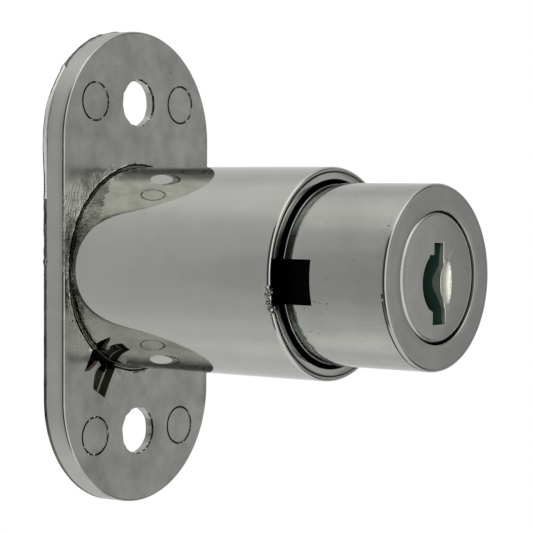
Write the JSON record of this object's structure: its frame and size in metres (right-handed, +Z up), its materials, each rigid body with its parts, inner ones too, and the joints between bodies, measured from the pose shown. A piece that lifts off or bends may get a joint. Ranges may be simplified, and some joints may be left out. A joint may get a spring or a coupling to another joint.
{
  "type": "sliding door push lock",
  "caption": "Push lock for a sliding door: oval flange plate, round tube and a key-operated plunger that drives a round bolt out behind the flange.",
  "frame": {"origin": "centre of the two screw holes on the flange's front seating face, which is also the tube's axis", "axes": "+Z up along the flange plate, -Y along the tube towards the key face, +X to the right seen from the key side"},
  "size_m": [0.024, 0.0428, 0.0516],
  "materials": {
    "nickel_casting": "polished nickel on zinc die casting",
    "polished_head": "polished nickel",
    "core_nickel": "satin nickel",
    "black_steel": "blackened",
    "plain_steel": "bright steel",
    "spring_steel": "drawn wire",
    "brass": "stamped"
  },
  "bodies": {
    "housing": {"housing": "nickel_casting", "rear_cap": "plain_steel"},
    "plunger": {"head_cap": "polished_head", "plunger_body": "black_steel", "guide_key": "black_steel", "stop_ring": "black_steel", "spring_washer": "plain_steel", "latch_bolt": "plain_steel", "cross_pin": "plain_steel", "return_spring": "spring_steel"},
    "core": {"core_plug": "core_nickel", "core_clip": "spring_steel", "cam_disc": "plain_steel", "wafer_springs": "spring_steel"},
    "pawl": {"lock_pawl": "plain_steel", "pawl_pin": "plain_steel"},
    "wafer_1": {"wafer_1": "brass"},
    "wafer_2": {"wafer_2": "brass"},
    "wafer_3": {"wafer_3": "brass"},
    "wafer_4": {"wafer_4": "brass"},
    "wafer_5": {"wafer_5": "brass"}
  },
  "joints": [
    {"name": "plunger_slide", "type": "slide", "parent": "housing", "child": "plunger", "axis": [0, 1, 0], "range_m": [0, 0.01], "stiffness_N_per_m": 100, "springref_m": -0.01, "deforming": ["return_spring"]},
    {"name": "core_turn", "type": "hinge", "parent": "plunger", "child": "core", "pos_m": [0, -0.03, 0], "axis": [0, 1, 0], "range_deg": [0, 90]},
    {"name": "pawl_slide", "type": "slide", "parent": "plunger", "child": "pawl", "axis": [1, 0, 0], "range_m": [0, 0.0013]},
    {"name": "wafer_1_lift", "type": "slide", "parent": "core", "child": "wafer_1", "axis": [0, 0, 1], "range_m": [0, 0.0006]},
    {"name": "wafer_2_lift", "type": "slide", "parent": "core", "child": "wafer_2", "axis": [0, 0, -1], "range_m": [0, 0.0006]},
    {"name": "wafer_3_lift", "type": "slide", "parent": "core", "child": "wafer_3", "axis": [0, 0, 1], "range_m": [0, 0.0006]},
    {"name": "wafer_4_lift", "type": "slide", "parent": "core", "child": "wafer_4", "axis": [0, 0, -1], "range_m": [0, 0.0006]},
    {"name": "wafer_5_lift", "type": "slide", "parent": "core", "child": "wafer_5", "axis": [0, 0, 1], "range_m": [0, 0.0006]}
  ],
  "couplings": [
    {"joint": "core_turn", "follows": "pawl_slide", "rad_per_m": 1208.3}
  ]
}
